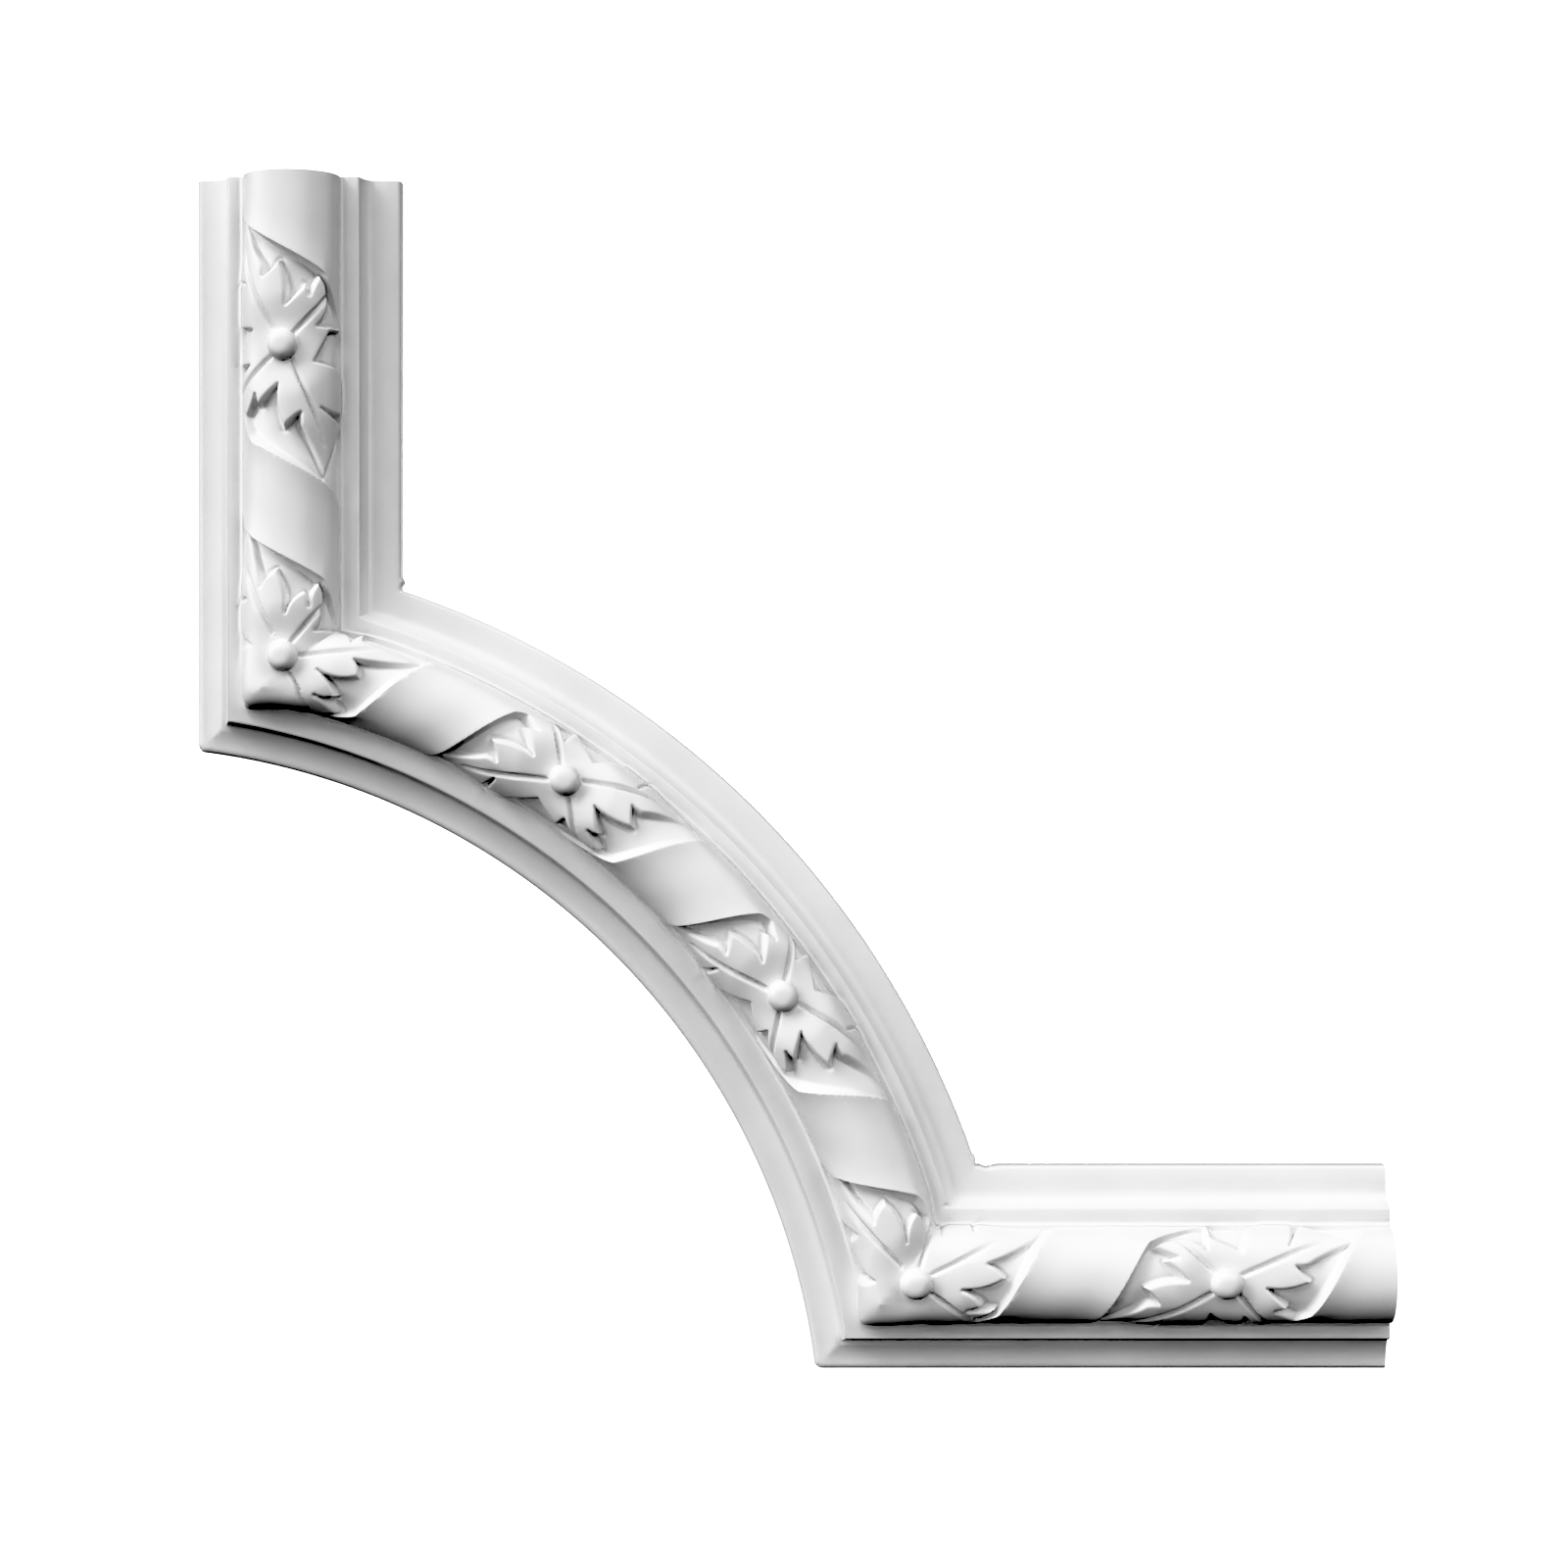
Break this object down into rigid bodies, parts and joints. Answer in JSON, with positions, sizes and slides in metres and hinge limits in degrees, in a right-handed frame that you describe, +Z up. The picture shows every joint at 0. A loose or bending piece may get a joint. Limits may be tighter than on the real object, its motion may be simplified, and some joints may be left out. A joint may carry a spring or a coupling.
{
  "type": "panel moulding corner",
  "caption": "Scooped inside corner for panel moulding: a quarter arc between two short legs, with a ribbon-wound rib and four-leaved flowers.",
  "frame": {"origin": "on the flat back that lies against the wall, midway across the arc at its forty-five degree point", "axes": "+Y into the wall, out of the flat back; the carved face looks along -Y; +Z up, towards the end of the upright leg; +X towards the end of the level leg"},
  "size_m": [0.35, 0.0213, 0.35],
  "materials": {
    "primed_white": "white primer over rigid foam, low sheen"
  },
  "bodies": {
    "root": {"corner_moulding": "primed_white"}
  },
  "joints": []
}
